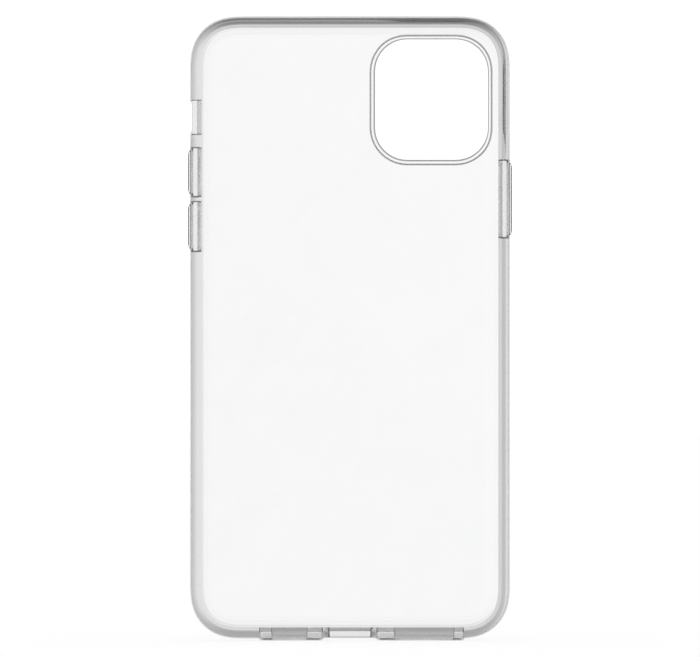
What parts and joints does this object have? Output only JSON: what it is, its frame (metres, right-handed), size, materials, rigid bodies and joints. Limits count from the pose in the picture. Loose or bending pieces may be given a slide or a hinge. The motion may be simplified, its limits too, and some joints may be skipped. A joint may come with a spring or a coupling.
{
  "type": "phone case",
  "caption": "Clear flexible phone case with a flat back, a rounded bumper frame, a raised camera window and pressable button covers.",
  "frame": {"origin": "centre of the bottom of the bounding box, below the middle of the bottom wall", "axes": "+Z towards the top of the phone, +X to the right when looking into the open side, +Y out through the back"},
  "size_m": [0.0808, 0.011, 0.1552],
  "materials": {
    "clear_panel": "gloss",
    "clear_bumper": "gloss",
    "clear_button": "gloss"
  },
  "bodies": {
    "case": {"back_panel": "clear_panel", "camera_ring": "clear_bumper", "bumper_frame": "clear_bumper", "front_lip": "clear_bumper", "volume_up_button_web": "clear_bumper", "volume_down_button_web": "clear_bumper", "side_button_web": "clear_bumper"},
    "volume_up": {"volume_up_button": "clear_button"},
    "volume_down": {"volume_down_button": "clear_button"},
    "side": {"side_button": "clear_button"}
  },
  "joints": [
    {"name": "volume_up_press", "type": "slide", "parent": "case", "child": "volume_up", "axis": [1, 0, 0], "range_m": [0, 0.0004], "stiffness_N_per_m": 4000, "deforming": ["volume_up_button_web"]},
    {"name": "volume_down_press", "type": "slide", "parent": "case", "child": "volume_down", "axis": [1, 0, 0], "range_m": [0, 0.0004], "stiffness_N_per_m": 4000, "deforming": ["volume_down_button_web"]},
    {"name": "side_button_press", "type": "slide", "parent": "case", "child": "side", "axis": [-1, 0, 0], "range_m": [0, 0.0004], "stiffness_N_per_m": 4000, "deforming": ["side_button_web"]}
  ]
}
